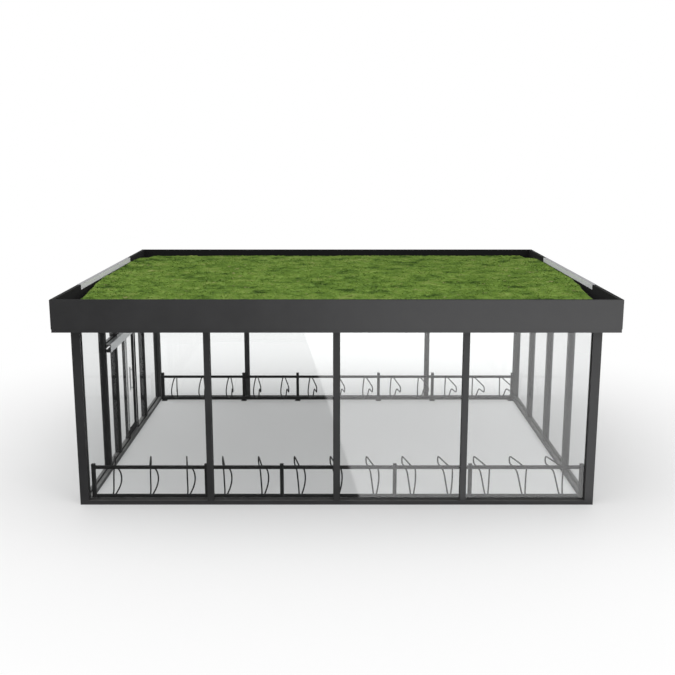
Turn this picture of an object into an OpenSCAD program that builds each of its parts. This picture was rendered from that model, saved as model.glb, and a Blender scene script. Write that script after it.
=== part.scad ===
// Glazed bike shelter with a planted flat roof, two wheel racks and a sliding side door.
// Millimetres. +Z is up, +X runs along the front, +Y runs from the front wall to the rear wall.
// The origin is on the ground at the middle of the plan.

/* [Plan] */
// Length of the front wall over the corner posts
wall_w = 7800; // [7000:10:9000]
// Depth of the side walls over the corner posts
wall_d = 6130; // [5600:10:7000]

/* [Wall frame] */
// Side of the square corner posts, and depth of the rails below and above the walls
post_w = 130; // [110:1:160]
// Width of the posts between the panes, seen from outside
mullion_w = 90; // [70:1:110]
// Depth of the posts between the panes, measured from the outside of the wall
mullion_d = 110; // [106:1:120]
// Height of the rail that lies on the ground under the walls
base_h = 65; // [45:1:90]
// Height of the beams on top of the walls
beam_h = 200; // [160:5:260]
// Thickness of the wall panes
glass_t = 12; // [8:1:16]
// Distance from the outside of the wall to the middle of the panes
glass_in = 65; // [50:1:80]

/* [Roof] */
// Height of the underside of the eaves above the ground
eave_h = 2715; // [2500:5:3000]
// Height of the band that runs round the roof
fascia_h = 480; // [440:5:560]
// Reach of the eaves beyond the walls
roof_overhang = 220; // [180:5:300]
// Thickness of the folded sheet of the band
sheet_t = 4; // [3:0.5:6]
// Width of the top of the parapet
parapet_w = 60; // [45:1:80]
// Height of the recessed drip edge at the foot of the band
drip_h = 50; // [30:1:70]
// Depth of the recess of the drip edge
drip_in = 5; // [4:1:14]
// Number of joists under the deck
joists = 7; // [5:1:9]
// Width of a joist
joist_w = 80; // [60:5:100]
// Height of a joist
joist_h = 180; // [140:5:200]
// Height of the ribs of the deck
deck_h = 50; // [40:1:60]
// Number of ribs of the deck
deck_ribs = 26; // [20:1:32]
// Thickness of the deck's sheet
deck_t = 3; // [2:0.5:4]
// Thickness of the drainage board on the deck
drain_t = 20; // [10:1:30]
// Thickness of the growing layer
soil_t = 80; // [60:5:110]
// Thickness of the plant mat
mat_t = 30; // [25:1:60]
// Bare margin between the plant mat and the parapet
margin_w = 185; // [120:5:230]
// Length of the pale cap angle on each end parapet
strip_l = 3600; // [2800:20:4400]
// Height of the cap angle's leg inside the parapet
strip_h = 78; // [50:1:100]
// Thickness of the cap angle
strip_t = 4; // [3:0.5:6]

/* [Racks] */
// Number of wheel holders in a row
holders = 13; // [9:2:15]
// Diameter of a wheel holder's rods
rod_d = 20; // [16:1:24]
// Reach of a wheel holder's nose from the middle of the rails into the aisle
nose_reach = 680; // [550:5:760]
// Sideways lean of a wheel holder's nose
nose_lean = 105; // [70:5:130]
// Height of the nose between its upper and its lower arm
nose_h = 125; // [100:5:160]
// Reach of the bow beside the nose from the middle of the rails
bow_reach = 272; // [220:2:320]
// Sideways lean of the bow
bow_lean = 87; // [60:1:110]
// Sideways set of the rear row's holders
rear_shift = 55; // [0:5:70]
// Sideways set of the posts and rails in both rows
rack_shift = 25; // [0:1:40]
// Side of the square rails
rail_w = 46; // [36:1:54]
// Height of the middle of the upper rail
upper_rail_z = 528; // [460:2:580]
// Height of the middle of the lower rail
lower_rail_z = 66; // [50:1:80]
// Side of the square rack posts
rack_post_w = 56; // [44:1:66]
// Height of the rack posts
rack_post_h = 600; // [560:5:680]
// Side of a rack post's foot plate
foot_w = 110; // [90:1:140]
// Thickness of a rack post's foot plate
foot_t = 8; // [6:1:12]

/* [Door] */
// Height of the underside of the track housing, which is the clear height
header_z = 2015; // [1950:5:2150]
// Height of the track housing
header_h = 140; // [120:5:180]
// Depth of the track housing
header_d = 168; // [150:1:190]
// Distance from the outside of the wall to the track housing
header_in = 15; // [8:1:20]
// Wall of the track housing
header_t = 4; // [3:0.5:6]
// Width of the slot under the track housing
slot_w = 26; // [24:1:32]
// Thickness of the door leaf
leaf_t = 45; // [40:1:48]
// Distance from the outside of the wall to the door leaf
leaf_in = 20; // [14:1:22]
// Width of a stile of the door leaf
stile_w = 46; // [38:1:60]
// Height of the door leaf's top rail
leaf_top_h = 60; // [45:1:80]
// Height of the door leaf's bottom rail
leaf_bottom_h = 90; // [60:1:130]
// Gap between the door leaf and the sill, and between the leaf and the housing
leaf_gap = 10; // [7:1:14]
// Thickness of the door's pane
leaf_glass_t = 8; // [6:1:10]
// Diameter of a hanger wheel
wheel_d = 40; // [32:1:48]
// Width of a hanger wheel
wheel_w = 10; // [8:1:14]
// Diameter of the pull handle's bar
handle_d = 25; // [20:1:32]
// Length of the pull handle
handle_l = 450; // [350:5:600]
// Height of the middle of the pull handle
handle_z = 1020; // [950:5:1100]
// Distance from the door leaf to the middle of the handle's bar
handle_out = 48; // [42:1:60]

/* [Hidden] */
$fn = 48;
half_w = wall_w / 2;
half_d = wall_d / 2;
bays = 4;
front_pitch = (wall_w - post_w) / bays;
side_pitch = (wall_d - post_w) / bays;
roof_top = eave_h + fascia_h;
roof_w = wall_w + 2 * roof_overhang;
roof_d = wall_d + 2 * roof_overhang;
deck_z = eave_h + beam_h;
drain_z = deck_z + deck_h;
soil_z = drain_z + drain_t;
mat_z = soil_z + soil_t;
// Plan inside the parapet's inner sheets
tray_w = roof_w - 2 * parapet_w;
tray_d = roof_d - 2 * parapet_w;
// The panes beside the door stand further in, where the open leaf passes them
leaf_pane_gap = 19;
door_glass_in = leaf_in + leaf_t + leaf_pane_gap + glass_t / 2;
// The door takes the third of the four half bays in the middle of the left wall
half_bay = side_pitch / 2;
leaf_lap = 22;
leaf_y0 = -leaf_lap;
leaf_y1 = half_bay + leaf_lap;
leaf_z0 = base_h + leaf_gap;
leaf_z1 = header_z - leaf_gap;
leaf_x = -half_w + leaf_in;
leaf_mid_x = leaf_x + leaf_t / 2;
header_x = -half_w + header_in;
header_l = 2 * side_pitch - mullion_w;
// Free edges of the fixed panes beside the door
edge_lap = 20;
run_clear = 0.3;
hanger_t = 8;
hanger_w = 60;
hanger_inset = 130;
wheel_gap = 2;
axle_d = 12;
guide_gap = 6;
guide_t = 10;
guide_l = 80;
guide_h = 34;
rod_sides = 8;
bend_steps = 3;
bow_steps = 9;
// Radii of the nose's bends, set by the length of straight rod that a bend takes on each side
nose_bend_w = nose_h * 0.48;
knee_bend_w = nose_h * 0.6;
anthracite = "#3a3a3a";

// A block between two opposite corners
module block(low, high) {
    translate(low) cube(high - low);
}

// Turns what is made for the front wall so that it stands at the rear
module at_rear() {
    rotate([0, 0, 180]) children();
}

// Rails on the ground
module front_base_rail() {
    color(anthracite)
        block([-half_w, -half_d, 0], [half_w, post_w - half_d, base_h]);
}

module side_base_rail() {
    color(anthracite)
        block([-half_w, post_w - half_d, 0], [post_w - half_w, half_d - post_w, base_h]);
}

// Corner posts and the posts between the panes, from the base rail to the beams
module corner_post(side_x, side_y) {
    color(anthracite)
        translate([side_x * (half_w - post_w / 2), side_y * (half_d - post_w / 2), base_h])
            translate([-post_w / 2, -post_w / 2, 0])
                cube([post_w, post_w, eave_h - base_h]);
}

module front_mullion(x, z0, z1) {
    block([x - mullion_w / 2, -half_d, z0], [x + mullion_w / 2, mullion_d - half_d, z1]);
}

module left_mullion(y, z0, z1) {
    block([-half_w, y - mullion_w / 2, z0], [mullion_d - half_w, y + mullion_w / 2, z1]);
}

module front_mullions() {
    color(anthracite)
        for (bay = [1 : bays - 1])
            front_mullion(bay * front_pitch - 2 * front_pitch, base_h, eave_h);
}

module left_mullions() {
    color(anthracite)
        for (side = [-1, 1])
            left_mullion(side * side_pitch, base_h, eave_h);
}

module right_mullions() {
    color(anthracite)
        rotate([0, 0, 180])
            for (bay = [-1 : 1])
                left_mullion(bay * side_pitch, base_h, eave_h);
}

module door_jamb() {
    color(anthracite)
        left_mullion(-half_bay, base_h, header_z);
}

module transom_mullion() {
    color(anthracite)
        left_mullion(-half_bay, header_z + header_h, eave_h);
}

// Panes stand between the posts
module front_pane(x0, x1) {
    block([x0, glass_in - glass_t / 2 - half_d, base_h],
          [x1, glass_in + glass_t / 2 - half_d, eave_h]);
}

module left_pane(y0, y1, z0, z1, inset = glass_in) {
    block([inset - glass_t / 2 - half_w, y0, z0],
          [inset + glass_t / 2 - half_w, y1, z1]);
}

module front_glass() {
    inner = mullion_w / 2;
    outer = half_w - post_w;
    color("lightcyan", 0.3)
        for (side = [-1, 1]) {
            front_pane(min(side * inner, side * (front_pitch - inner)),
                       max(side * inner, side * (front_pitch - inner)));
            front_pane(min(side * (front_pitch + inner), side * outer),
                       max(side * (front_pitch + inner), side * outer));
        }
}

module left_end_panes() {
    for (side = [0, 1])
        mirror([0, side, 0])
            left_pane(side_pitch + mullion_w / 2, half_d - post_w, base_h, eave_h);
}

module right_glass() {
    inner = mullion_w / 2;
    color("lightcyan", 0.3)
        rotate([0, 0, 180]) {
            left_end_panes();
            for (side = [0, 1])
                mirror([0, side, 0])
                    left_pane(inner, side_pitch - inner, base_h, eave_h);
        }
}

module left_glass() {
    inner = mullion_w / 2;
    header_top = header_z + header_h;
    color("lightcyan", 0.3) {
        left_end_panes();
        left_pane(inner - side_pitch, -half_bay - inner, base_h, header_z, door_glass_in);
        left_pane(inner - half_bay, edge_lap, base_h, header_z, door_glass_in);
        left_pane(half_bay - edge_lap, side_pitch - inner, base_h, header_z, door_glass_in);
        left_pane(inner - side_pitch, -half_bay - inner, header_top, eave_h, door_glass_in);
        left_pane(inner - half_bay, side_pitch - inner, header_top, eave_h, door_glass_in);
    }
}

// Beams on the posts, and joists between the front and rear beams
module front_beam() {
    color(anthracite)
        block([-half_w, -half_d, eave_h], [half_w, post_w - half_d, eave_h + beam_h]);
}

module left_beam() {
    color(anthracite)
        block([-half_w, post_w - half_d, eave_h],
              [post_w - half_w, half_d - post_w, eave_h + beam_h]);
}

module roof_joists() {
    step = (wall_w - 2 * post_w) / (joists + 1);
    color(anthracite)
        for (row = [1 : joists])
            block([post_w - half_w + row * step - joist_w / 2, post_w - half_d, deck_z - joist_h],
                  [post_w - half_w + row * step + joist_w / 2, half_d - post_w, deck_z]);
}

// Band round the roof: one folded sheet with a drip edge, a face, a parapet and a soffit
module fascia_profile() {
    lap = roof_overhang;
    inner_foot = drain_z - eave_h;
    polygon([
        [drip_in, 0], [drip_in, drip_h], [0, drip_h], [0, fascia_h],
        [parapet_w, fascia_h], [parapet_w, inner_foot],
        [parapet_w - sheet_t, inner_foot], [parapet_w - sheet_t, fascia_h - sheet_t],
        [sheet_t, fascia_h - sheet_t], [sheet_t, drip_h + sheet_t],
        [drip_in + sheet_t, drip_h + sheet_t], [drip_in + sheet_t, sheet_t],
        [lap, sheet_t], [lap, 0]
    ]);
}

module fascia(length) {
    depth = roof_overhang;
    color(anthracite)
        intersection() {
            translate([-length / 2, 0, eave_h])
                rotate([90, 0, 90])
                    linear_extrude(length)
                        fascia_profile();
            translate([0, 0, eave_h])
                linear_extrude(fascia_h)
                    polygon([[-length / 2, 0], [length / 2, 0],
                             [length / 2 - depth, depth], [depth - length / 2, depth]]);
        }
}

module front_fascia() {
    translate([0, -roof_d / 2, 0]) fascia(roof_w);
}

module right_fascia() {
    rotate([0, 0, 90])
        translate([0, -roof_w / 2, 0]) fascia(roof_d);
}

// Ribbed deck, with its ribs along the front
function rib_line(pitch, drop) = [
    for (rib = [0 : deck_ribs - 1])
        let (y = rib * pitch - tray_d / 2)
            each [[y + pitch * 0.05, drop], [y + pitch * 0.30, drop],
                  [y + pitch * 0.40, deck_h - deck_t + drop], [y + pitch * 0.95, deck_h - deck_t + drop]]
];

function backwards(points) = [for (i = [len(points) - 1 : -1 : 0]) points[i]];

module roof_deck() {
    pitch = tray_d / deck_ribs;
    color("gainsboro")
        translate([-tray_w / 2, 0, deck_z])
            rotate([90, 0, 90])
                linear_extrude(tray_w)
                    polygon(concat(rib_line(pitch, 0), backwards(rib_line(pitch, deck_t))));
}

// Layers of the planted roof
module roof_layer(inset, z0, z1) {
    block([inset - tray_w / 2, inset - tray_d / 2, z0], [tray_w / 2 - inset, tray_d / 2 - inset, z1]);
}

module drainage_board() {
    color("dimgray")
        roof_layer(0, drain_z, soil_z);
}

module growing_layer() {
    color("saddlebrown")
        roof_layer(margin_w, soil_z, mat_z);
}

module plant_mat() {
    color("olivedrab")
        roof_layer(margin_w, mat_z, mat_z + mat_t);
}

// Pale cap angle on the top of an end parapet, with a leg down its inside
module left_parapet_strip() {
    color("lightgray")
        translate([-roof_w / 2, strip_l / 2, roof_top])
            rotate([90, 0, 0])
                linear_extrude(strip_l)
                    polygon([[0, 0], [parapet_w, 0], [parapet_w, -strip_h], [parapet_w + strip_t, -strip_h],
                             [parapet_w + strip_t, strip_t], [0, strip_t]]);
}

// Rack along the inside of the front wall: posts against the base rail, rails on the posts and
// wheel holders on the rails
rail_y = post_w + rack_post_w + rail_w / 2 - half_d;
rack_l = wall_w - 2 * post_w - rack_post_w;
holder_pitch = rack_l / holders;
// Posts stand about half a pitch beside the holders: one at each end, the right one against the
// wall, and two pairs between
post_steps = [-holders / 2, 3 - holders / 2, -1.5, 1.5, holders / 2 - 3, holders / 2];
post_places = [for (steps = post_steps) min(steps * holder_pitch + rack_shift, rack_l / 2)];

module front_rack_posts() {
    y0 = rail_y - rail_w / 2 - rack_post_w;
    last = len(post_places) - 1;
    color(anthracite)
        for (i = [0 : last]) {
            // A foot plate at the end of the row keeps within its post
            outward = i == 0 ? -1 : i == last ? 1 : 0;
            foot_x = outward * (rack_post_w - foot_w) / 2;
            translate([post_places[i], y0, 0]) {
                translate([-rack_post_w / 2, 0, foot_t])
                    cube([rack_post_w, rack_post_w, rack_post_h - foot_t]);
                translate([foot_x - foot_w / 2, 0, 0])
                    cube([foot_w, foot_w, foot_t]);
            }
        }
}

module front_rack_rails() {
    x0 = post_places[0] - rack_post_w / 2;
    x1 = post_places[len(post_places) - 1] + rack_post_w / 2;
    color(anthracite)
        for (z = [lower_rail_z, upper_rail_z])
            block([x0, rail_y - rail_w / 2, z - rail_w / 2], [x1, rail_y + rail_w / 2, z + rail_w / 2]);
}

// Points on a curve that is led by its control points
function bezier(points, t) =
    len(points) == 1 ? points[0]
    : bezier([for (i = [0 : len(points) - 2]) (1 - t) * points[i] + t * points[i + 1]], t);

function unit(v) = v / norm(v);

// A line through corner points whose corners are bent, each from its own length of rod
function bent(corners, trims) =
    let (last = len(corners) - 1)
        concat(
            [corners[0]],
            [for (i = [1 : last - 1])
                let (corner = corners[i],
                     from = corner + trims[i - 1] * unit(corners[i - 1] - corner),
                     to = corner + trims[i - 1] * unit(corners[i + 1] - corner))
                    each [for (step = [0 : bend_steps]) bezier([from, corner, to], step / bend_steps)]],
            [corners[last]]
        );

function rod_ring(centre, along) =
    let (up = unit(cross(along, [1, 0, 0])), side = cross(up, along))
        [for (k = [0 : rod_sides - 1])
            centre + rod_d / 2 * (cos(360 * k / rod_sides) * side + sin(360 * k / rod_sides) * up)];

// A round rod along a line; both its ends lie flat on the rails
module rod(line) {
    last = len(line) - 1;
    along = [for (i = [0 : last])
        i == 0 ? [0, 1, 0]
        : i == last ? [0, -1, 0]
        : unit(unit(line[i + 1] - line[i]) + unit(line[i] - line[i - 1]))];
    rings = [for (i = [0 : last]) rod_ring(line[i], along[i])];
    polyhedron(
        points = [for (ring = rings) each ring],
        faces = concat(
            [[for (k = [0 : rod_sides - 1]) k]],
            [for (i = [0 : last - 1], k = [0 : rod_sides - 1])
                let (next = (k + 1) % rod_sides, a = i * rod_sides)
                    each [[a + k, a + rod_sides + k, a + rod_sides + next],
                          [a + k, a + rod_sides + next, a + next]]],
            [[for (k = [rod_sides - 1 : -1 : 0]) last * rod_sides + k]]
        )
    );
}

// Nose of a holder: out from the upper rail, round a tight bend, back along the lower arm and
// down to the lower rail
module holder_nose() {
    face = rail_w / 2;
    nose_z = upper_rail_z - rail_w;
    rod(bent(
        [[0.4 * rod_d, face, upper_rail_z - rail_w * 0.1], [-nose_lean, nose_reach, nose_z],
         [-nose_lean, nose_reach, nose_z - nose_h], [-0.44 * nose_lean, 0.47 * nose_reach, nose_z - nose_h],
         [-0.3 * rod_d, 0.15 * nose_reach, lower_rail_z], [-0.3 * rod_d, face, lower_rail_z]],
        [nose_bend_w, nose_bend_w, knee_bend_w, knee_bend_w]
    ));
}

// Bow of a holder: a rounder loop between the same rails on the other side of the wheel's place
module holder_bow() {
    face = rail_w / 2;
    rise = upper_rail_z - lower_rail_z;
    route = [
        [2.4 * rod_d, face, upper_rail_z - rail_w * 0.15],
        [2.3 * rod_d, face + 1.6 * rod_d, upper_rail_z + 0.067 * rise],
        [1.66 * bow_lean, 2.12 * bow_reach, lower_rail_z + 0.236 * rise],
        [1.6 * rod_d, face, lower_rail_z]
    ];
    rod([for (step = [0 : bow_steps]) bezier(route, step / bow_steps)]);
}

module front_wheel_holders() {
    color(anthracite)
        for (row = [0 : holders - 1])
            translate([(row - (holders - 1) / 2) * holder_pitch, rail_y, 0]) {
                holder_nose();
                holder_bow();
            }
}

module rear_wheel_holders() {
    at_rear()
        translate([-rear_shift, 0, 0]) front_wheel_holders();
}

// Housing of the sliding door's track, between the posts on both sides of the door
module door_track_housing() {
    slot_x = leaf_mid_x - header_x;
    color("silver")
        translate([header_x, header_l / 2, header_z])
            rotate([90, 0, 0])
                linear_extrude(header_l)
                    difference() {
                        square([header_d, header_h]);
                        translate([header_t, header_t])
                            square([header_d - 2 * header_t, header_h - 2 * header_t]);
                        translate([slot_x - slot_w / 2, -header_t])
                            square([slot_w, 3 * header_t]);
                    }
}

// Two cheeks on the sill that keep the foot of the door leaf in line
module door_guide() {
    y = (leaf_y0 + leaf_lap) / 2 + 2 * leaf_lap;
    color(anthracite)
        for (side = [-1, 1])
            translate([leaf_mid_x + side * (leaf_t / 2 + guide_gap + guide_t / 2), y, base_h])
                translate([-guide_t / 2, -guide_l / 2, 0])
                    cube([guide_t, guide_l, guide_h]);
}

// Door leaf: two stiles and two rails round a pane
module door_leaf_frame() {
    color(anthracite)
        difference() {
            block([leaf_x, leaf_y0, leaf_z0], [leaf_x + leaf_t, leaf_y1, leaf_z1]);
            block([leaf_x - 1, leaf_y0 + stile_w, leaf_z0 + leaf_bottom_h],
                  [leaf_x + leaf_t + 1, leaf_y1 - stile_w, leaf_z1 - leaf_top_h]);
        }
}

module door_pane() {
    color("lightcyan", 0.3)
        block([leaf_mid_x - leaf_glass_t / 2, leaf_y0 + stile_w, leaf_z0 + leaf_bottom_h],
              [leaf_mid_x + leaf_glass_t / 2, leaf_y1 - stile_w, leaf_z1 - leaf_top_h]);
}

// Hangers on top of the leaf, each with a wheel that runs on the floor of the housing
module door_hangers() {
    axle_z = header_z + header_t + run_clear + wheel_d / 2;
    wheel_x = leaf_mid_x + slot_w / 2 + wheel_gap;
    color("silver")
        for (y = [leaf_y0 + hanger_inset, leaf_y1 - hanger_inset]) {
            block([leaf_mid_x - hanger_t / 2, y - hanger_w / 2, leaf_z1],
                  [leaf_mid_x + hanger_t / 2, y + hanger_w / 2, axle_z + axle_d]);
            translate([leaf_mid_x, y, axle_z])
                rotate([0, 90, 0]) cylinder(d = axle_d, h = wheel_x - leaf_mid_x + wheel_w);
            translate([wheel_x, y, axle_z])
                rotate([0, 90, 0]) cylinder(d = wheel_d, h = wheel_w);
        }
}

// Pull handle on the outside of the stile at the closing edge
module door_handle() {
    y = leaf_y1 - stile_w / 2;
    stand_d = 0.7 * handle_d;
    stand_z = handle_l / 2 - 2 * handle_d;
    color("silver") {
        translate([leaf_x - handle_out, y, handle_z - handle_l / 2]) cylinder(d = handle_d, h = handle_l);
        for (side = [-1, 1])
            translate([leaf_x - handle_out, y, handle_z + side * stand_z])
                rotate([0, 90, 0]) cylinder(d = stand_d, h = handle_out);
    }
}

front_base_rail();
at_rear() front_base_rail();  // rear_base_rail
side_base_rail();  // left_base_rail
at_rear() side_base_rail();  // right_base_rail
corner_post(-1, -1);  // front_left_post
corner_post(1, -1);  // front_right_post
corner_post(-1, 1);  // rear_left_post
corner_post(1, 1);  // rear_right_post
front_mullions();
at_rear() front_mullions();  // rear_mullions
left_mullions();
right_mullions();
door_jamb();
transom_mullion();
front_glass();
at_rear() front_glass();  // rear_glass
left_glass();
right_glass();
front_beam();
at_rear() front_beam();  // rear_beam
left_beam();
at_rear() left_beam();  // right_beam
roof_joists();
front_fascia();
at_rear() front_fascia();  // rear_fascia
at_rear() right_fascia();  // left_fascia
right_fascia();
roof_deck();
drainage_board();
growing_layer();
plant_mat();
left_parapet_strip();
at_rear() left_parapet_strip();  // right_parapet_strip
front_rack_posts();
front_rack_rails();
front_wheel_holders();
mirror([0, 1, 0]) front_rack_posts();  // rear_rack_posts
mirror([0, 1, 0]) front_rack_rails();  // rear_rack_rails
rear_wheel_holders();
door_track_housing();
door_guide();
door_leaf_frame();
door_pane();
door_hangers();
door_handle();
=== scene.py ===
import math

import bpy
import numpy as np
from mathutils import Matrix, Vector


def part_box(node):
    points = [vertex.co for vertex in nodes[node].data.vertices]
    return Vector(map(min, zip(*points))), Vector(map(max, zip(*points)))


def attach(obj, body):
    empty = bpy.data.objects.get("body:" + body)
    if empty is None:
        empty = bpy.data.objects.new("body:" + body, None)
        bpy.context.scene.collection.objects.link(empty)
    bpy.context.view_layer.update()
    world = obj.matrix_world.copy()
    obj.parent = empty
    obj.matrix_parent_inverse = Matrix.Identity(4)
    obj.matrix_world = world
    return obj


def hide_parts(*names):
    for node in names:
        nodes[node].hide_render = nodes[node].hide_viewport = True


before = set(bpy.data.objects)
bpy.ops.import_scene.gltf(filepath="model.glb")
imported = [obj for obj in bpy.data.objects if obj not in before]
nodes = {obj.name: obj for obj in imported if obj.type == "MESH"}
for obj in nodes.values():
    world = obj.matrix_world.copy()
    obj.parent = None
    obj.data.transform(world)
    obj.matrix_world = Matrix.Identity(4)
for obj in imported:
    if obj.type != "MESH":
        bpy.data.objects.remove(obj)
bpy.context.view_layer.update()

# Studio: a pale sheet of floor under the shelter, a white surround and two soft lamps.
# The floor fades into the white surround. For mirrored rays only, the floor glows as a painted reflection,
# brightly on its right half and dimly on its left, which gives the front panes and the roof band a slanting
# sheen.
WHITE = (1, 1, 1, 1)
FLOOR_SIDE = 160
FLOOR_GREY = (0.78, 0.78, 0.78, 1)
FADE_HALF_W = 10.0
FADE_HALF_D = 9.0
FADE_ENDS = (0.42, 1.05)  # shares of that oval between which the floor goes white
FADE_LEAST = 0.27
PANE_GAIN = 0.06  # makes up for the light that a pane holds back
SHEEN_GAP = 0.185
SHEEN_SLANT = -0.101
SHEEN_EDGE = (0.66, 0.71)
SHEEN_DARK = 0.18
SHEEN_BRIGHT = 2.35
SKY_STRENGTH = 0.80
LAMP_AIM = Vector((0, 0, 1.5))
sheen_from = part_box("front_base_rail")[0].y - SHEEN_GAP

bpy.ops.object.select_all(action="DESELECT")
bpy.ops.mesh.primitive_plane_add(size=FLOOR_SIDE)
floor = bpy.context.object
floor.name = "studio_floor"


def new_finish(name):
    """A new material: the material itself, its node tree and its surface shader."""
    finish = bpy.data.materials.new(name)
    finish.use_nodes = True
    return finish, finish.node_tree, finish.node_tree.nodes["Principled BSDF"]


def feed(tree, value, socket):
    """Links another node's output to a socket, or sets a plain number or colour on it."""
    if isinstance(value, bpy.types.NodeSocket):
        tree.links.new(value, socket)
    else:
        socket.default_value = value


def reckon(tree, operation, *values):
    """One step of arithmetic on other nodes' outputs and plain numbers."""
    step = tree.nodes.new("ShaderNodeMath")
    step.operation = operation
    for value, socket in zip(values, step.inputs):
        feed(tree, value, socket)
    return step.outputs["Value"]


def respread(tree, value, ends, results, smooth=False):
    """Spreads a value that runs between two ends over two results, and keeps it between them."""
    span = tree.nodes.new("ShaderNodeMapRange")
    span.interpolation_type = "SMOOTHSTEP" if smooth else "LINEAR"
    tree.links.new(value, span.inputs["Value"])
    for label, number in zip(("From Min", "From Max", "To Min", "To Max"), (*ends, *results)):
        span.inputs[label].default_value = number
    return span.outputs["Result"]


def axes_of(tree, place):
    """A place's parts along X, Y and Z."""
    parts = tree.nodes.new("ShaderNodeSeparateXYZ")
    tree.links.new(place, parts.inputs["Vector"])
    return parts.outputs


def glow(tree, strength):
    """White light from the surface itself, of a strength that other nodes give."""
    light = tree.nodes.new("ShaderNodeEmission")
    light.inputs["Color"].default_value = WHITE
    tree.links.new(strength, light.inputs["Strength"])
    return light.outputs["Emission"]


def blend_shaders(tree, share, first, second):
    """The first shader where the share is 0, the second where it is 1."""
    blend = tree.nodes.new("ShaderNodeMixShader")
    for value, socket in zip((share, first, second), blend.inputs):
        tree.links.new(value, socket)
    return blend.outputs["Shader"]


def seen_white(tree, rays):
    """Which rays reach the eye, straight or through a pane, and how strong white is for them."""
    through_pane = rays["Is Transmission Ray"]
    to_eye = reckon(tree, "MAXIMUM", rays["Is Camera Ray"], through_pane)
    strength = reckon(tree, "MULTIPLY_ADD", through_pane, PANE_GAIN, 1.0)
    return to_eye, strength


def floor_paint():
    """Pale paint that goes white further out, and glows as a painted reflection in what mirrors it."""
    finish, tree, paint = new_finish("studio_floor_paint")
    paint.inputs["Base Color"].default_value = FLOOR_GREY
    paint.inputs["Roughness"].default_value = 0.6
    paint.inputs["Specular IOR Level"].default_value = 0.2
    rays = tree.nodes.new("ShaderNodeLightPath").outputs
    place = tree.nodes.new("ShaderNodeTexCoord").outputs["Object"]
    along = axes_of(tree, place)

    oval = tree.nodes.new("ShaderNodeVectorMath")
    oval.operation = "MULTIPLY"
    oval.inputs[1].default_value = (1 / FADE_HALF_W, 1 / FADE_HALF_D, 0)
    distance = tree.nodes.new("ShaderNodeVectorMath")
    distance.operation = "LENGTH"
    tree.links.new(place, oval.inputs[0])
    tree.links.new(oval.outputs["Vector"], distance.inputs[0])
    fade = respread(tree, distance.outputs["Value"], FADE_ENDS, (FADE_LEAST, 1), smooth=True)
    to_eye, strength = seen_white(tree, rays)
    fade_share = reckon(tree, "MULTIPLY", fade, to_eye)
    faded = blend_shaders(tree, fade_share, paint.outputs["BSDF"], glow(tree, strength))

    # Painted reflection: a glow seen only in mirrors, bright on the right half and dim on the left.
    slant = reckon(tree, "MULTIPLY_ADD", along["Y"], SHEEN_SLANT, along["X"])
    sheen = glow(tree, respread(tree, slant, SHEEN_EDGE, (SHEEN_DARK, SHEEN_BRIGHT)))
    in_front = reckon(tree, "LESS_THAN", along["Y"], sheen_from)
    turned_back = reckon(tree, "MODULO", rays["Ray Depth"], 2)
    mirror_ray = reckon(tree, "MULTIPLY", rays["Is Glossy Ray"], turned_back)
    mirror_share = reckon(tree, "MULTIPLY", mirror_ray, in_front)
    mirrored = blend_shaders(tree, mirror_share, faded, sheen)
    tree.links.new(mirrored, tree.nodes["Material Output"].inputs["Surface"])
    return finish


floor.data.materials.append(floor_paint())

surround = bpy.data.worlds.new("white_surround")
bpy.context.scene.world = surround
surround.use_nodes = True
tree = surround.node_tree
sky = tree.nodes["Background"]
sky.inputs["Color"].default_value = WHITE
sky.inputs["Strength"].default_value = SKY_STRENGTH
seen_sky = tree.nodes.new("ShaderNodeBackground")
seen_sky.inputs["Color"].default_value = WHITE
to_eye, strength = seen_white(tree, tree.nodes.new("ShaderNodeLightPath").outputs)
tree.links.new(strength, seen_sky.inputs["Strength"])
backdrop = blend_shaders(tree, to_eye, sky.outputs["Background"], seen_sky.outputs["Background"])
tree.links.new(backdrop, tree.nodes["World Output"].inputs["Surface"])

for name, at, size, power in (
    ("overhead_lamp", (-1.0, -2.0, 14.0), 12.0, 900.0),
    ("front_lamp", (9.0, -14.0, 8.0), 6.0, 420.0),
):
    bpy.ops.object.light_add(type="AREA", location=at)
    lamp = bpy.context.object
    lamp.name = name
    lamp.data.size = size
    lamp.data.energy = power
    lamp.rotation_euler = (LAMP_AIM - Vector(at)).to_track_quat("-Z", "Y").to_euler()

# Camera: stands in front of the shelter a little above the roof and looks slightly down.
# Its place and lens come from the photograph's own vanishing lines.
CAMERA_AT = (0.013, -16.538, 5.381)
CAMERA_TILT = math.radians(78.34)
CAMERA_LENS = 50
CAMERA_SENSOR = 36
CAMERA_REACH = 500
bpy.ops.object.camera_add(location=CAMERA_AT, rotation=(CAMERA_TILT, 0, 0))
camera = bpy.context.object
camera.data.lens = CAMERA_LENS
camera.data.sensor_width = CAMERA_SENSOR
camera.data.clip_end = CAMERA_REACH
bpy.context.scene.camera = camera
bpy.context.scene.view_settings.view_transform = "Standard"

# Steel frame: posts, beams and joists of hollow section, welded up and coated in dark powder.
# The coat is even, with a faint orange peel and slightly uneven gloss. The posts that stand
# in the door wall have a duller, darker copy of the coat, painted shade for the dimmer light there.
FRAME_DARK = (0.022, 0.022, 0.023)
FRAME_LIGHT = (0.029, 0.029, 0.030)
FRAME_ROUGH = 0.45
FRAME_SHINE = 0.34
PEEL_DEPTH = 0.001


def noise(tree, place, scale, detail, roughness=0.5):
    """Soft random patches over a place; a larger scale makes them finer."""
    cloud = tree.nodes.new("ShaderNodeTexNoise")
    cloud.inputs["Scale"].default_value = scale
    cloud.inputs["Detail"].default_value = detail
    cloud.inputs["Roughness"].default_value = roughness
    tree.links.new(place, cloud.inputs["Vector"])
    return cloud.outputs["Fac"]


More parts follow.
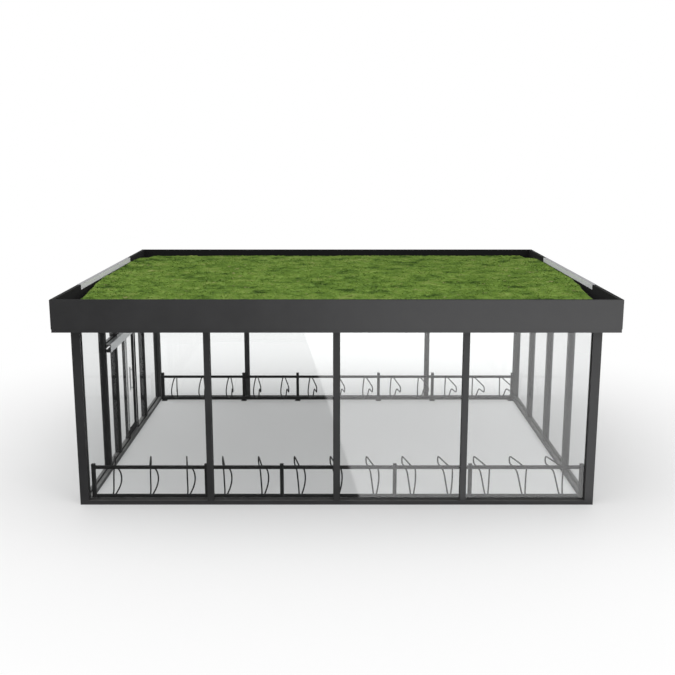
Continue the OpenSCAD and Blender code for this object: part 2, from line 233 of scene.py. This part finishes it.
def tones(tree, share, *stops):
    """The colours that a share from 0 to 1 runs through; a stop is a share and its colour."""
    run = tree.nodes.new("ShaderNodeValToRGB")
    first, *between, last = stops
    for element, (at, colour) in zip(run.color_ramp.elements, (first, last)):
        element.position = at
        element.color = (*colour, 1)
    for at, colour in between:
        run.color_ramp.elements.new(at).color = (*colour, 1)
    tree.links.new(share, run.inputs["Fac"])
    return run.outputs["Color"]


def raise_bumps(tree, surface, height, distance, strength=1.0):
    """Makes a surface look raised by a share that other nodes give, up to a distance."""
    bump = tree.nodes.new("ShaderNodeBump")
    bump.inputs["Strength"].default_value = strength
    bump.inputs["Distance"].default_value = distance
    tree.links.new(height, bump.inputs["Height"])
    tree.links.new(bump.outputs["Normal"], surface.inputs["Normal"])


def powder_coat(name, dark, light, rough, shine=0.5):
    """A sprayed coat in two close tones, with uneven gloss and an orange peel."""
    coat, tree, surface = new_finish(name)
    surface.inputs["Specular IOR Level"].default_value = shine
    place = tree.nodes.new("ShaderNodeTexCoord").outputs["Object"]
    cloud = noise(tree, place, scale=2.3, detail=4)
    tone = tones(tree, cloud, (0.35, dark), (0.68, light))
    gloss = respread(tree, cloud, (0, 1), (rough - 0.05, rough + 0.07))
    tree.links.new(tone, surface.inputs["Base Color"])
    tree.links.new(gloss, surface.inputs["Roughness"])
    peel = noise(tree, place, scale=420, detail=1)
    raise_bumps(tree, surface, peel, distance=PEEL_DEPTH, strength=0.06)
    return coat


def finish_nodes(material, *names):
    """Gives CAD nodes their material."""
    for name in names:
        nodes[name].data.materials.clear()
        nodes[name].data.materials.append(material)


frame_coat = powder_coat("frame_powder_coat", FRAME_DARK, FRAME_LIGHT, FRAME_ROUGH, FRAME_SHINE)
# Painted shade: a darker, duller copy of the frame's coat for the door wall's posts, leaf and guide.
shaded_door_wall_coat = powder_coat(
    "shaded_door_wall_coat", dark=(0.011, 0.011, 0.012), light=(0.016, 0.016, 0.017), rough=0.55, shine=0.06
)
finish_nodes(
    frame_coat,
    "front_left_post", "front_right_post", "rear_left_post", "rear_right_post",
    "front_mullions", "rear_mullions", "right_mullions",
    "front_beam", "rear_beam", "left_beam", "right_beam", "roof_joists",
)
finish_nodes(shaded_door_wall_coat, "left_mullions", "door_jamb", "transom_mullion")

# Base rails: the same sections laid flat on the ground under all four walls.
# Road dust lies on their top faces, thicker in patches, and the rail under the door is a paler grey with a
# paler top.
RAIL_DUST = (0.095, 0.094, 0.091, 1)
# The rail under the door: a paler grey, with a paler top.
SILL_DARK = (0.075, 0.075, 0.075)
SILL_LIGHT = (0.098, 0.098, 0.097)
SILL_DUST = (0.270, 0.268, 0.262, 1)
DUST_T = 0.0005
rail_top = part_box("front_base_rail")[1].z


def lay_over(tree, socket, share, value, kind="RGBA", blend="MIX"):
    """Lays a colour or a number over what a shader's socket has, by a share from 0 to 1."""
    own = socket.links[0].from_socket if socket.is_linked else socket.default_value
    layer = tree.nodes.new("ShaderNodeMix")
    layer.data_type = kind
    layer.blend_type = blend
    feed(tree, share, layer.inputs["Factor"])
    feed(tree, own, layer.inputs["A"])
    feed(tree, value, layer.inputs["B"])
    tree.links.new(layer.outputs["Result"], socket)


def dusty_rail(name, dark, light, dust):
    """The frame's coat in a rail's own tones, with drifts of dust on the top faces."""
    coat = powder_coat(name, dark, light, FRAME_ROUGH, FRAME_SHINE)
    tree = coat.node_tree
    place = tree.nodes.new("ShaderNodeTexCoord").outputs["Object"]
    on_top = reckon(tree, "GREATER_THAN", axes_of(tree, place)["Z"], rail_top - DUST_T)
    drift = respread(tree, noise(tree, place, scale=7, detail=5), (0, 1), (0.45, 1.0))
    dust_share = reckon(tree, "MULTIPLY", on_top, drift)
    lay_over(tree, tree.nodes["Principled BSDF"].inputs["Base Color"], dust_share, dust)
    return coat


rail_coat = dusty_rail("base_rail_coat", FRAME_DARK, FRAME_LIGHT, RAIL_DUST)
sill_coat = dusty_rail("pale_sill_coat", SILL_DARK, SILL_LIGHT, SILL_DUST)
finish_nodes(rail_coat, "front_base_rail", "rear_base_rail", "right_base_rail")
finish_nodes(sill_coat, "left_base_rail")

# Wall panes: sheets of clear toughened glass, set between the posts.
# Lamps shine through them, and they mirror a little. The end walls' panes mirror less and are tinted
# grey as painted shade, and the right wall's tint is the darkest.
CLEAR_TINT = (0.978, 0.985, 0.984)
# Painted shade: grey tints that darken what is seen through the end walls.
DOOR_WALL_SHADE_TINT = (0.805, 0.810, 0.810)
RIGHT_WALL_SHADE_TINT = (0.715, 0.720, 0.720)
LAMP_TINT = (0.955, 0.965, 0.963)
GLASS_REFRACTION = 1.45
FAINT_REFRACTION = 1.03


def clear_glass(name, refraction, tint):
    """Glass that mirrors and tints what is seen in it, and lets the light of lamps straight through."""
    glazing, tree, glass = new_finish(name)
    glass.inputs["Base Color"].default_value = (*tint, 1)
    glass.inputs["Transmission Weight"].default_value = 1.0
    glass.inputs["Roughness"].default_value = 0.0
    glass.inputs["IOR"].default_value = refraction
    lamp_way = tree.nodes.new("ShaderNodeBsdfTransparent")
    lamp_way.inputs["Color"].default_value = (*LAMP_TINT, 1)
    rays = tree.nodes.new("ShaderNodeLightPath").outputs
    passing = reckon(tree, "MAXIMUM", rays["Is Shadow Ray"], rays["Is Diffuse Ray"])
    pane = blend_shaders(tree, passing, glass.outputs["BSDF"], lamp_way.outputs["BSDF"])
    tree.links.new(pane, tree.nodes["Material Output"].inputs["Surface"])
    return glazing


clear_panes = clear_glass("clear_pane_glass", GLASS_REFRACTION, CLEAR_TINT)
shaded_door_wall_panes = clear_glass("shaded_end_pane_glass", FAINT_REFRACTION, DOOR_WALL_SHADE_TINT)
shaded_right_wall_panes = clear_glass("shaded_right_pane_glass", FAINT_REFRACTION, RIGHT_WALL_SHADE_TINT)
finish_nodes(clear_panes, "front_glass", "rear_glass")
finish_nodes(shaded_door_wall_panes, "left_glass", "door_pane")
finish_nodes(shaded_right_wall_panes, "right_glass")

# Glazing gaskets: rubber strips that hold each pane on both faces, along all its edges.
# They are pressed in from a roll, so each pane has one closed ring a side. Outside the door wall
# the rubber is lightened to grey, painted light for the haze it mirrors, and in the door wall it is black.
GASKET_W = 0.008
GASKET_T = 0.007
UPRIGHT = math.radians(90)
SQUARE_ON = 0.9  # from here on a face's normal counts as lying along an axis
SAME_PLACE = 1e-4
# Painted light: the grey stands in for the haze mirrored on the rubber.
haze_lit_rubber = powder_coat(
    "haze_lightened_rubber", dark=(0.034, 0.034, 0.034), light=(0.046, 0.046, 0.046), rough=0.62, shine=0.25
)
black_rubber = powder_coat(
    "black_rubber", dark=(0.008, 0.008, 0.008), light=(0.012, 0.012, 0.012), rough=0.62, shine=0.10
)


def pane_faces(node):
    """Each broad face of a node's panes: the axis it looks along, which way, and its two corners."""
    mesh = nodes[node].data
    low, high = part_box(node)
    across = 0 if high.x - low.x < high.y - low.y else 1
    faces = []
    for triangle in mesh.polygons:
        if abs(triangle.normal[across]) < SQUARE_ON:
            continue
        points = [mesh.vertices[k].co for k in triangle.vertices]
        corners = [Vector(end(p[k] for p in points) for k in range(3)) for end in (min, max)]
        gaps = [(near - corners[0]).length + (far - corners[1]).length for _, _, near, far in faces]
        if not any(gap < SAME_PLACE for gap in gaps):
            faces.append((across, math.copysign(1, triangle.normal[across]), *corners))
    return faces


def one_piece(parts, name, material):
    """Joins parts into one piece of a name and material, with its object at the origin."""
    bpy.ops.object.select_all(action="DESELECT")
    for part in parts:
        part.select_set(True)
    bpy.context.view_layer.objects.active = parts[0]
    bpy.ops.object.join()
    piece = bpy.context.object
    piece.name = name
    bpy.ops.object.transform_apply(location=True, rotation=True, scale=True)
    piece.data.materials.clear()
    piece.data.materials.append(material)
    return piece


def gasket_rings(name, node, rubber):
    """A closed rubber ring on each broad face of the node's panes, as one piece."""
    rings = []
    for across, facing, low, high in pane_faces(node):
        bpy.ops.object.select_all(action="DESELECT")
        turn = (UPRIGHT, 0, 0 if across == 1 else UPRIGHT)
        bpy.ops.mesh.primitive_plane_add(size=1, location=(low + high) / 2, rotation=turn)
        ring = bpy.context.object
        ring.scale = ((high - low)[1 - across], high.z - low.z, 1)
        bpy.ops.object.transform_apply(location=True, rotation=True, scale=True)
        bpy.ops.object.mode_set(mode="EDIT")
        bpy.ops.mesh.select_all(action="SELECT")
        bpy.ops.mesh.inset(thickness=GASKET_W)
        bpy.ops.mesh.delete(type="FACE")
        bpy.ops.mesh.select_all(action="SELECT")
        push = Vector((0, 0, 0))
        push[across] = facing * GASKET_T
        bpy.ops.mesh.extrude_region_move(TRANSFORM_OT_translate={"value": push})
        bpy.ops.mesh.select_all(action="SELECT")
        bpy.ops.mesh.normals_make_consistent(inside=False)
        bpy.ops.object.mode_set(mode="OBJECT")
        rings.append(ring)
    return one_piece(rings, name, rubber)


for wall in ("front", "rear", "right"):
    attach(gasket_rings(wall + "_gaskets", wall + "_glass", haze_lit_rubber), "shelter")
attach(gasket_rings("left_gaskets", "left_glass", black_rubber), "shelter")
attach(gasket_rings("door_gaskets", "door_pane", black_rubber), "door")

# Roof band: folded sheet round the roof, with a soffit, a recessed drip edge and a parapet.
# It is powder-coated as the frame is, with more shine. Inside the parapet and over its top edge
# it is painted black and dull, as painted shade.
BAND_DARK = (0.017, 0.017, 0.018)
BAND_LIGHT = (0.023, 0.023, 0.024)
BAND_SHINE = 0.52
BAND_SHADE = (0.008, 0.008, 0.008, 1)
BAND_SHADE_ROUGH = 0.9
BAND_SHADE_SHINE = 0.20
FACE_SKIN = 0.001  # what lies this near a face counts as on it
tray_low, tray_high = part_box("drainage_board")
band_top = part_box("front_fascia")[1].z


def shaded_band_coat():
    """The band's coat, black and dull as painted shade on the inside and on the top edge."""
    coat = powder_coat("band_powder_coat", BAND_DARK, BAND_LIGHT, FRAME_ROUGH, BAND_SHINE)
    tree = coat.node_tree
    shader = tree.nodes["Principled BSDF"].inputs
    along = axes_of(tree, tree.nodes.new("ShaderNodeTexCoord").outputs["Object"])
    from_middle = [reckon(tree, "ABSOLUTE", along[axis]) for axis in ("X", "Y")]
    within_x = reckon(tree, "LESS_THAN", from_middle[0], tray_high.x + FACE_SKIN)
    within_y = reckon(tree, "LESS_THAN", from_middle[1], tray_high.y + FACE_SKIN)
    above = reckon(tree, "GREATER_THAN", along["Z"], tray_low.z - FACE_SKIN)
    inside = reckon(tree, "MULTIPLY", reckon(tree, "MULTIPLY", within_x, within_y), above)
    on_top = reckon(tree, "GREATER_THAN", along["Z"], band_top - FACE_SKIN)
    painted_shade = reckon(tree, "MAXIMUM", inside, on_top)
    # Painted shade: black and dull inside the parapet and on its top edge.
    lay_over(tree, shader["Base Color"], painted_shade, BAND_SHADE)
    lay_over(tree, shader["Roughness"], painted_shade, BAND_SHADE_ROUGH, kind="FLOAT")
    lay_over(tree, shader["Specular IOR Level"], painted_shade, BAND_SHADE_SHINE, kind="FLOAT")
    return coat


finish_nodes(shaded_band_coat(), "front_fascia", "rear_fascia", "left_fascia", "right_fascia")

# Roof build-up: ribbed galvanised deck, a black drainage board and a brown growing layer.
# The layers are laid loose on one another. Only the deck's underside and their edges can be seen.
GRIT_DEPTH = 0.006
galvanised = powder_coat("galvanised_sheet", dark=(0.40, 0.41, 0.42), light=(0.52, 0.53, 0.54), rough=0.36)
galvanised.node_tree.nodes["Principled BSDF"].inputs["Metallic"].default_value = 0.85
board_plastic = powder_coat(
    "drainage_board_plastic", dark=(0.004, 0.004, 0.004), light=(0.009, 0.009, 0.009), rough=0.7, shine=0.2
)


def growing_grit():
    """Coarse mineral grit, each grain paler at its edge."""
    grit, tree, surface = new_finish("growing_layer_grit")
    grains = tree.nodes.new("ShaderNodeTexVoronoi")
    grains.inputs["Scale"].default_value = 120
    tree.links.new(tree.nodes.new("ShaderNodeTexCoord").outputs["Object"], grains.inputs["Vector"])
    off_middle = grains.outputs["Distance"]
    tone = tones(tree, off_middle, (0, (0.030, 0.020, 0.012)), (1, (0.120, 0.080, 0.050)))
    tree.links.new(tone, surface.inputs["Base Color"])
    raise_bumps(tree, surface, off_middle, distance=GRIT_DEPTH)
    surface.inputs["Roughness"].default_value = 0.95
    return grit


finish_nodes(galvanised, "roof_deck")
finish_nodes(board_plastic, "drainage_board")
finish_nodes(growing_grit(), "growing_layer")

# Plant mat: a rolled-out mat of low stonecrop and moss, grown together into soft humps.
# The bed is the mat's own uneven surface, and tufts of short leaves stand all over it. Along the
# sides the plants have crept out over the bare margins and stand a little higher.
BED_CELL = 0.0395
BED_DROP = 0.012
BED_LIFT = 0.001
BROAD_HUMP = 0.42
BROAD_HUMP_H = 0.016
SMALL_HUMP = 0.13
SMALL_HUMP_H = 0.0064
BARE_MARGIN = 0.018
SIDE_RISE = 0.042
CREEP_STARTS = (0.04, 0.44)  # shares of the mat's depth, from the front, over which creeping sets in
CREEP_STOPS = (0.85, 0.95)
RAGGED = 0.12
RAGGED_WAVES = 9.0
mat_low, mat_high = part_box("plant_mat")
mat_size = mat_high - mat_low
mat_middle = (mat_low + mat_high) / 2
creep = (tray_high.x - mat_high.x) - BARE_MARGIN
cells_x = round(mat_size.x / BED_CELL)
cells_y = round(mat_size.y / BED_CELL)


def eased(value, start, end):
    """A rise from 0 at the start to 1 at the end, which begins and ends gently."""
    share = np.clip((value - start) / (end - start), 0, 1)
    return share * share * (3 - 2 * share)


def overgrown(y):
    """How far the plants have outgrown the mat's sides, from 0 at both ends to 1 behind the middle."""
    along = y / mat_size.y + 0.5
    return eased(along, *CREEP_STARTS) * (1 - eased(along, *CREEP_STOPS))


def crept(x, y):
    """Where a point of the mat lies once the plants have crept out over the side margins."""
    share = overgrown(y)
    ragged = 1 - RAGGED * (1 + np.sin(y * RAGGED_WAVES + x)) * (1 - 0.5 * share)
    return x + creep * share * ragged * np.sign(x) * (2 * x / mat_size.x) ** 4


def leaf_green(name, lift):
    """Mixed greens in patches, mottled, with a few dry straw-coloured spots."""
    green, tree, surface = new_finish(name)
    place = tree.nodes.new("ShaderNodeTexCoord").outputs["Object"]
    patch = noise(tree, place, scale=3.4, detail=3, roughness=0.55)
    greens = (
        (0.31, (0.040, 0.085, 0.008)),
        (0.41, (0.110, 0.200, 0.026)),
        (0.56, (0.172, 0.285, 0.043)),
        (0.74, (0.250, 0.330, 0.078)),
    )
    lifted = [(at, [part * lift for part in colour]) for at, colour in greens]
    tree.links.new(tones(tree, patch, *lifted), surface.inputs["Base Color"])
    speck = noise(tree, place, scale=21, detail=2)
    lay_over(tree, surface.inputs["Base Color"], 0.15, speck, blend="OVERLAY")
    dry = noise(tree, place, scale=5.2, detail=2)
    spots = respread(tree, dry, (0.665, 0.72), (0, 0.55))
    straw = (0.40 * lift, 0.36 * lift, 0.17 * lift, 1)
    lay_over(tree, surface.inputs["Base Color"], spots, straw)
    surface.inputs["Roughness"].default_value = 0.8
    surface.inputs["Specular IOR Level"].default_value = 0.06
    return green


bpy.ops.object.select_all(action="DESELECT")
bpy.ops.mesh.primitive_grid_add(
    x_subdivisions=cells_x, y_subdivisions=cells_y, size=1, location=(mat_middle.x, mat_middle.y, mat_high.z)
)
bed = bpy.context.object
bed.name = "plant_mat_bed"
bed.scale = (mat_size.x, mat_size.y, 1)
bpy.ops.object.transform_apply(location=True, rotation=True, scale=True)
for v in bed.data.vertices:
    v.co.z += SIDE_RISE * overgrown(v.co.y) * (2 * v.co.x / mat_size.x) ** 6
    v.co.x = crept(v.co.x, v.co.y)
for label, size, height in (
    ("broad_humps", BROAD_HUMP, BROAD_HUMP_H),
    ("small_humps", SMALL_HUMP, SMALL_HUMP_H),
):
    humps = bpy.data.textures.new(label, "CLOUDS")
    humps.noise_scale = size
    swell = bed.modifiers.new(label, "DISPLACE")
    swell.texture = humps
    swell.texture_coords = "LOCAL"
    swell.direction = "Z"
    swell.strength = height
    swell.mid_level = 0.75
    bpy.ops.object.modifier_apply(modifier=label)
bpy.ops.object.mode_set(mode="EDIT")
bpy.ops.mesh.select_all(action="SELECT")
bpy.ops.mesh.region_to_loop()
bpy.ops.transform.translate(value=(0, 0, -BED_DROP))
bpy.ops.mesh.extrude_edges_move(TRANSFORM_OT_translate={"value": (0, 0, -mat_size.z)})
bpy.ops.transform.resize(value=(1, 1, 0), center_override=(0, 0, mat_low.z + BED_LIFT))
bpy.ops.mesh.fill()
bpy.ops.mesh.select_all(action="SELECT")
bpy.ops.mesh.normals_make_consistent(inside=False)
bpy.ops.object.mode_set(mode="OBJECT")
bpy.ops.object.shade_smooth()
# Painted light: the bed's green is lifted above the tufts', against the shade between the tufts.
bed.data.materials.append(leaf_green("lifted_bed_green", lift=0.76))
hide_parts("plant_mat")
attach(bed, "shelter")

LEAF_W = 0.013
LEAF_L = 0.036
LEAF_ROOT = 0.003
LEAF_DOME = 0.011
LEAF_CURL = 0.75  # share of its length that a curled leaf reaches
LEAF_SHAPE = (0.55, 1.25, 0.16)  # shares of the width at the root, the middle and the tip
bpy.ops.object.select_all(action="DESELECT")
bpy.ops.mesh.primitive_grid_add(x_subdivisions=1, y_subdivisions=2, size=1)
leaf = bpy.context.object
leaf.scale = (LEAF_W, LEAF_L, 1)
bpy.ops.object.transform_apply(scale=True)
bpy.ops.object.mode_set(mode="EDIT")
bpy.ops.mesh.select_all(action="SELECT")
bpy.ops.transform.translate(value=(0, LEAF_ROOT + LEAF_L / 2, 0))
bpy.ops.object.mode_set(mode="OBJECT")
for v in leaf.data.vertices:
    share = v.co.y / (LEAF_ROOT + LEAF_L)
    v.co.x *= LEAF_SHAPE[round(share * 2)]
    v.co.z = LEAF_DOME * (1 - share * share)
    v.co.y *= LEAF_CURL
leaf_points = np.array([v.co[:] for v in leaf.data.vertices])
leaf_faces = np.array([f.vertices[:] for f in leaf.data.polygons])
bpy.data.objects.remove(leaf)

TUFTS_A_QUARTER = 5600
TUFT_MARGIN = 0.03
TUFT_LIFT = 0.001
LEAVES = 7
LEAF_SIZES = (0.75, 1.25)
LEAF_LEANS = (-0.14, 0.05)
LEAF_TURN = 0.10  # how far a leaf's shading turns from straight up
draw = np.random.RandomState(11)
top_points = np.array([v.co[:] for v in bed.data.vertices])[: (cells_x + 1) * (cells_y + 1)]
heights = top_points[:, 2].reshape(cells_y + 1, cells_x + 1)
tuft_green = leaf_green("tuft_leaf_green", lift=0.70)
for quarter, (side_x, side_y) in enumerate(((-1, -1), (1, -1), (-1, 1), (1, 1)), start=1):
    x = side_x * draw.uniform(0.0, mat_size.x / 2 - TUFT_MARGIN, TUFTS_A_QUARTER)
    y = side_y * draw.uniform(0.0, mat_size.y / 2 - TUFT_MARGIN, TUFTS_A_QUARTER)
    col = np.clip(np.rint((x / mat_size.x + 0.5) * cells_x).astype(int), 0, cells_x)
    row = np.clip(np.rint((y / mat_size.y + 0.5) * cells_y).astype(int), 0, cells_y)
    tuft_x = crept(x, y)[:, None]
    tuft_y = y[:, None]
    tuft_z = heights[row, col][:, None] + TUFT_LIFT
    size = draw.uniform(*LEAF_SIZES, TUFTS_A_QUARTER)[:, None]
    verts, faces, facing = [], [], []
    for k in range(LEAVES):
        turn = draw.uniform(0, 2 * math.pi, TUFTS_A_QUARTER)[:, None]
        lean = draw.uniform(*LEAF_LEANS, TUFTS_A_QUARTER)[:, None]
        across, along, up = (leaf_points[:, i] * size for i in range(3))
        out = along * np.cos(lean) - up * np.sin(lean)
        rise = along * np.sin(lean) + up * np.cos(lean)
        leaf_x = tuft_x + across * np.cos(turn) - out * np.sin(turn)
        leaf_y = tuft_y + across * np.sin(turn) + out * np.cos(turn)
        verts.append(np.stack([leaf_x, leaf_y, tuft_z + rise], 2).reshape(-1, 3))
        towards = np.hstack([-LEAF_TURN * np.sin(turn), LEAF_TURN * np.cos(turn), np.ones_like(turn)])
        towards /= np.linalg.norm(towards, axis=1)[:, None]
        facing.append(np.repeat(towards, len(leaf_points), 0))
        first = (k * TUFTS_A_QUARTER + np.arange(TUFTS_A_QUARTER)) * len(leaf_points)
        faces.append((first[:, None, None] + leaf_faces).reshape(-1, leaf_faces.shape[1]))
    cover = bpy.data.meshes.new(f"plant_tufts_{quarter}")
    cover.from_pydata(np.concatenate(verts).tolist(), [], np.concatenate(faces).tolist())
    cover.shade_smooth()
    cover.normals_split_custom_set_from_vertices(np.concatenate(facing).tolist())
    cover.materials.append(tuft_green)
    tufts = bpy.data.objects.new(cover.name, cover)
    tufts.visible_shadow = False
    bpy.context.collection.objects.link(tufts)
    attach(tufts, "shelter")

# Parapet caps: aluminium angles laid over the middle of the two end parapets.
# Anodised, with faint lengthwise lines from the extrusion; the top leaf is darker.
LINE_STRETCH = (90, 1.5, 90)
CAP_TOP_TONE = (0.30, 0.30, 0.30, 1)
cap_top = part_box("left_parapet_strip")[1].z


def anodised_metal(name, dark, light, metal):
    """Anodised aluminium with faint lines along Y."""
    finish, tree, surface = new_finish(name)
    stretch = tree.nodes.new("ShaderNodeMapping")
    stretch.inputs["Scale"].default_value = LINE_STRETCH
    tree.links.new(tree.nodes.new("ShaderNodeTexCoord").outputs["Object"], stretch.inputs["Vector"])
    lines = noise(tree, stretch.outputs["Vector"], scale=6, detail=4)
    tree.links.new(tones(tree, lines, (0, dark), (1, light)), surface.inputs["Base Color"])
    surface.inputs["Metallic"].default_value = metal
    surface.inputs["Roughness"].default_value = 0.42
    return finish


def cap_metal():
    """The caps' metal, darker on the top leaf."""
    finish = anodised_metal("cap_anodised", dark=(0.66, 0.65, 0.70), light=(0.80, 0.79, 0.84), metal=0.0)
    tree = finish.node_tree
    along = axes_of(tree, tree.nodes.new("ShaderNodeTexCoord").outputs["Object"])
    top_leaf = reckon(tree, "GREATER_THAN", along["Z"], cap_top - FACE_SKIN)
    tone = tree.nodes["Principled BSDF"].inputs["Base Color"]
    lay_over(tree, tone, top_leaf, CAP_TOP_TONE, blend="MULTIPLY")
    return finish


finish_nodes(cap_metal(), "left_parapet_strip", "right_parapet_strip")

# Bike racks: square steel rails on posts with foot plates, welded up and coated black.
# Where a foot plate reaches past its post, a washered hexagon bolt holds it down.
BOLT_R = 0.0098
BOLT_T = 0.0064
BOLT_EDGE = 0.0009
WASHER_R = 0.0115
WASHER_T = 0.0020
WASHER_SIDES = 20
PLATES_BELOW = 0.02
PLATES_APART = 0.15
POSTS_ABOVE = 0.1
BOLT_SMOOTH = math.radians(40)
rack_coat = powder_coat(
    "rack_powder_coat", dark=(0.005, 0.005, 0.005), light=(0.008, 0.008, 0.008), rough=0.45, shine=0.08
)
finish_nodes(rack_coat, "front_rack_posts", "front_rack_rails", "rear_rack_posts", "rear_rack_rails")


def bolt_places(node):
    """Places on a row's foot plates, halfway from the post to the plate's edge on either side."""
    mesh = nodes[node].data
    on_plates = [f for f in mesh.polygons if f.normal.z > SQUARE_ON and f.center.z < PLATES_BELOW]
    plate_xs = sorted({round(mesh.vertices[k].co.x, 4) for f in on_plates for k in f.vertices})
    plates = [[plate_xs[0]]]
    for x in plate_xs[1:]:
        if x - plates[-1][-1] > PLATES_APART:
            plates.append([])
        plates[-1].append(x)
    top = max(mesh.vertices[k].co.z for k in on_plates[0].vertices)
    high_points = [v.co for v in mesh.vertices if v.co.z > POSTS_ABOVE]
    spots = []
    for plate in plates:
        post = [p for p in high_points if plate[0] - FACE_SKIN < p.x < plate[-1] + FACE_SKIN]
        sides = (min(p.x for p in post), max(p.x for p in post))
        y = (min(p.y for p in post) + max(p.y for p in post)) / 2
        for edge, side in zip((plate[0], plate[-1]), sides):
            if abs(edge - side) > 2 * BOLT_R:
                spots.append(Vector(((edge + side) / 2, y, top)))
    return spots


def washered_bolt():
    """A hexagon bolt's head with blunted edges on its washer, standing on the ground."""
    bpy.ops.object.select_all(action="DESELECT")
    bpy.ops.mesh.primitive_cylinder_add(
        vertices=WASHER_SIDES, radius=WASHER_R, depth=WASHER_T, location=(0, 0, WASHER_T / 2)
    )
    bolt = bpy.context.object
    bpy.ops.object.transform_apply(location=True)
    bpy.ops.object.mode_set(mode="EDIT")
    bpy.ops.mesh.select_all(action="DESELECT")
    bpy.ops.mesh.primitive_cylinder_add(
        vertices=6, radius=BOLT_R, depth=BOLT_T, location=(0, 0, WASHER_T + BOLT_T / 2)
    )
    bpy.ops.mesh.bevel(offset=BOLT_EDGE, segments=2, affect="EDGES")
    bpy.ops.object.mode_set(mode="OBJECT")
    return bolt


def copies(model, name, places, material):
    """Copies of a small model, each with its own mesh, set at (spot, axis) places as one piece."""
    made = []
    for spot, axis in places:
        one = model.copy()
        one.data = model.data.copy()
        one.location = spot
        one.rotation_euler = Vector((0, 0, 1)).rotation_difference(axis).to_euler()
        bpy.context.collection.objects.link(one)
        made.append(one)
    bpy.data.objects.remove(model)
    piece = one_piece(made, name, material)
    bpy.ops.object.shade_smooth_by_angle(angle=BOLT_SMOOTH)
    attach(piece, "shelter")


for row in ("front", "rear"):
    places = [(spot, Vector((0, 0, 1))) for spot in bolt_places(row + "_rack_posts")]
    copies(washered_bolt(), row + "_rack_bolts", places, rack_coat)

# Wheel holders: round steel rods in the racks' black coat, bent into a nose and a bow.
# They are welded to both rails, with a bead round each end. The CAD's rods have few sides, so a
# copy of them is rounded off and swollen a little.
ROD_SWELL = 0.0026
ROD_MERGE = 0.0002
QUAD_FLAT = math.radians(50)
QUAD_SKEW = math.radians(70)
END_SHARP = math.radians(70)  # only the edges round a rod's ends are sharper
ROD_SMOOTH = math.radians(50)
BEAD_REACH = 0.0115
BEAD_R = 0.0032
RIM_REACH = 2.2 * BEAD_REACH


def rod_ends(mesh, rim_edges):
    """The middle of each rod's end and the way that the rod runs there."""
    rims = []
    for k in sorted({k for e in rim_edges for k in e.vertices}):
        point = mesh.vertices[k].co.copy()
        near = [rim for rim in rims if (rim[0] - point).length < RIM_REACH]
        if near:
            near[0].append(point)
        else:
            rims.append([point])
    ends = []
    for rim in rims:
        middle = sum(rim, Vector()) / len(rim)
        side = min(rim[1:], key=lambda p: abs((p - middle).dot(rim[0] - middle)))
        ends.append((middle, (rim[0] - middle).cross(side - middle).normalized()))
    return ends


for row in ("front", "rear"):
    holders = nodes[row + "_wheel_holders"]
    bpy.ops.object.select_all(action="DESELECT")
    rods = bpy.data.objects.new(row + "_bent_rods", holders.data.copy())
    bpy.context.collection.objects.link(rods)
    rods.select_set(True)
    bpy.context.view_layer.objects.active = rods
    bpy.ops.object.mode_set(mode="EDIT")
    bpy.ops.mesh.select_mode(type="EDGE")
    bpy.ops.mesh.select_all(action="SELECT")
    bpy.ops.mesh.remove_doubles(threshold=ROD_MERGE)
    bpy.ops.mesh.tris_convert_to_quads(face_threshold=QUAD_FLAT, shape_threshold=QUAD_SKEW)
    bpy.ops.mesh.select_all(action="DESELECT")
    bpy.ops.mesh.edges_select_sharp(sharpness=END_SHARP)
    bpy.ops.object.mode_set(mode="OBJECT")
    rim_edges = [e for e in rods.data.edges if e.select]
    crease = rods.data.attributes.new("crease_edge", "FLOAT", "EDGE")
    for e in rim_edges:
        crease.data[e.index].value = 1.0
    ends = rod_ends(rods.data, rim_edges)
    round_off = rods.modifiers.new("round_off", "SUBSURF")
    round_off.levels = round_off.render_levels = 1
    bpy.ops.object.modifier_apply(modifier="round_off")
    swell = rods.modifiers.new("swell", "DISPLACE")
    swell.strength = ROD_SWELL
    swell.mid_level = 0
    bpy.ops.object.modifier_apply(modifier="swell")
    bpy.ops.object.shade_smooth_by_angle(angle=ROD_SMOOTH)
    rods.data.materials.clear()
    rods.data.materials.append(rack_coat)
    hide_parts(holders.name)
    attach(rods, "shelter")
    bpy.ops.object.select_all(action="DESELECT")
    bpy.ops.mesh.primitive_torus_add(
        major_radius=BEAD_REACH, minor_radius=BEAD_R, major_segments=14, minor_segments=6
    )
    copies(bpy.context.object, row + "_weld_beads", ends, rack_coat)

# Sliding door: an anodised track housing over the opening, a leaf in the door wall's darker coat of painted
# shade with its own pane, hangers that run in the housing, a guide on the sill and a pale pull handle.
anodised = anodised_metal("pale_anodised", dark=(0.52, 0.53, 0.54), light=(0.68, 0.69, 0.70), metal=0.7)
finish_nodes(anodised, "door_track_housing", "door_hangers", "door_handle")
finish_nodes(shaded_door_wall_coat, "door_leaf_frame", "door_guide")
